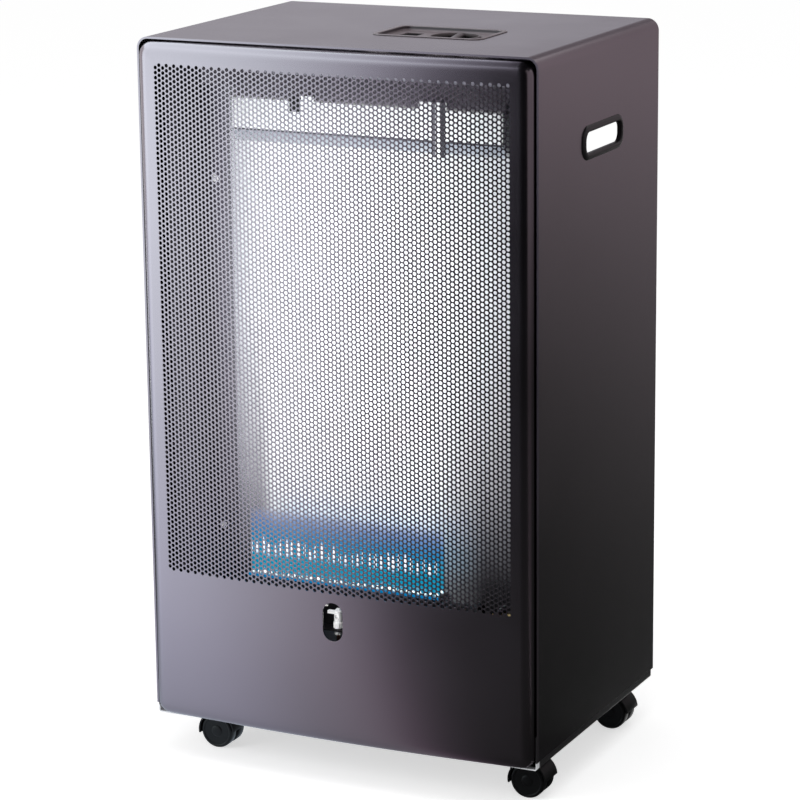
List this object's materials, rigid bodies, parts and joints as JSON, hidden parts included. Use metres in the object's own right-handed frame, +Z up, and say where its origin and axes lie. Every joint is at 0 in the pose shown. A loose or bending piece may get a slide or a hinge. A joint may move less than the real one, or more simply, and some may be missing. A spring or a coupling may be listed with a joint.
{
  "type": "portable gas cabinet heater",
  "caption": "Upright portable gas heater: sheet-metal cabinet on swivel casters, perforated crowned front over a burner and reflector, controls in the top, cylinder bay behind.",
  "frame": {"origin": "floor level under the middle of the whole object's box", "axes": "+Z up, -Y towards the viewer in front of the guard, +X to that viewer's right, where the controls are"},
  "size_m": [0.435, 0.3359, 0.7458],
  "materials": {
    "bronze_paint": "metallic paint, semi-gloss, mocha bronze",
    "bronze_plastic": "satin moulded, mocha bronze",
    "black_plastic": "fine grained, very dark brown-black",
    "caster_plastic": "moulded black",
    "bright_steel": "bright reflector sheet",
    "darkened_steel": "sheet darkened by heat",
    "galvanised_steel": "galvanised sheet",
    "burner_steel": "stainless, slightly heat tinted",
    "brass": "turned",
    "copper": "drawn copper tube",
    "valve_casting": "die cast",
    "white_ceramic": "glazed",
    "lead_rubber": "silicone sleeve",
    "igniter_plastic": "moulded"
  },
  "bodies": {
    "cabinet": {"base_tray": "galvanised_steel", "bay_divider": "darkened_steel", "burner_body": "darkened_steel", "burner_leg_left": "galvanised_steel", "burner_leg_right": "galvanised_steel", "burner_strip": "burner_steel", "cabinet_wrap": "bronze_paint", "caster_back_left_socket": "caster_plastic", "caster_back_right_socket": "caster_plastic", "caster_front_left_socket": "caster_plastic", "caster_front_right_socket": "caster_plastic", "control_bezel": "bronze_plastic", "deflector_clip": "darkened_steel", "deflector_strap": "bright_steel", "front_panel": "bronze_paint", "gas_valve": "valve_casting", "handle_bezel_left": "black_plastic", "handle_bezel_right": "black_plastic", "heat_deflector": "bright_steel", "hose_nozzle": "brass", "ignition_lead": "lead_rubber", "injector": "brass", "injector_bracket": "galvanised_steel", "main_gas_pipe": "copper", "piezo_igniter": "igniter_plastic", "pilot_bracket": "darkened_steel", "pilot_burner": "brass", "pilot_gas_pipe": "copper", "rear_rail": "galvanised_steel", "reflector": "bright_steel", "side_shield_left": "darkened_steel", "side_shield_right": "darkened_steel", "spark_electrode": "white_ceramic", "thermocouple": "copper", "valve_bracket": "galvanised_steel", "venturi": "burner_steel"},
    "gas_rotor": {"valve_rotor": "brass"},
    "knob": {"control_knob": "black_plastic", "valve_shaft": "burner_steel"},
    "igniter": {"igniter_button": "black_plastic"},
    "cover": {"rear_cover": "bronze_paint"},
    "caster_front_left": {"caster_front_left_hood": "caster_plastic"},
    "wheels_front_left": {"caster_front_left_wheels": "caster_plastic"},
    "caster_front_right": {"caster_front_right_hood": "caster_plastic"},
    "wheels_front_right": {"caster_front_right_wheels": "caster_plastic"},
    "caster_back_left": {"caster_back_left_hood": "caster_plastic"},
    "wheels_back_left": {"caster_back_left_wheels": "caster_plastic"},
    "caster_back_right": {"caster_back_right_hood": "caster_plastic"},
    "wheels_back_right": {"caster_back_right_wheels": "caster_plastic"}
  },
  "joints": [
    {"name": "knob_turn", "type": "hinge", "parent": "cabinet", "child": "gas_rotor", "pos_m": [0.07, -0.021, 0.7], "axis": [0, 0, 1], "range_deg": [-210, 0]},
    {"name": "knob_press", "type": "slide", "parent": "gas_rotor", "child": "knob", "axis": [0, 0, -1], "range_m": [0, 0.003], "stiffness_N_per_m": 2500},
    {"name": "igniter_press", "type": "slide", "parent": "cabinet", "child": "igniter", "axis": [0, 0, -1], "range_m": [0, 0.004], "stiffness_N_per_m": 3000},
    {"name": "cover_tilt", "type": "hinge", "parent": "cabinet", "child": "cover", "pos_m": [0, 0.1583, 0.061], "axis": [-1, 0, 0], "range_deg": [0, 35]},
    {"name": "swivel_front_left", "type": "hinge", "parent": "cabinet", "child": "caster_front_left", "pos_m": [-0.176, -0.105, 0.045], "axis": [0, 0, 1], "continuous": true},
    {"name": "roll_front_left", "type": "hinge", "parent": "caster_front_left", "child": "wheels_front_left", "pos_m": [-0.163, -0.105, 0.018], "axis": [0, 1, 0], "continuous": true},
    {"name": "swivel_front_right", "type": "hinge", "parent": "cabinet", "child": "caster_front_right", "pos_m": [0.176, -0.105, 0.045], "axis": [0, 0, 1], "continuous": true},
    {"name": "roll_front_right", "type": "hinge", "parent": "caster_front_right", "child": "wheels_front_right", "pos_m": [0.189, -0.105, 0.018], "axis": [0, 1, 0], "continuous": true},
    {"name": "swivel_back_left", "type": "hinge", "parent": "cabinet", "child": "caster_back_left", "pos_m": [-0.176, 0.113, 0.045], "axis": [0, 0, 1], "continuous": true},
    {"name": "roll_back_left", "type": "hinge", "parent": "caster_back_left", "child": "wheels_back_left", "pos_m": [-0.163, 0.113, 0.018], "axis": [0, 1, 0], "continuous": true},
    {"name": "swivel_back_right", "type": "hinge", "parent": "cabinet", "child": "caster_back_right", "pos_m": [0.176, 0.113, 0.045], "axis": [0, 0, 1], "continuous": true},
    {"name": "roll_back_right", "type": "hinge", "parent": "caster_back_right", "child": "wheels_back_right", "pos_m": [0.189, 0.113, 0.018], "axis": [0, 1, 0], "continuous": true}
  ]
}
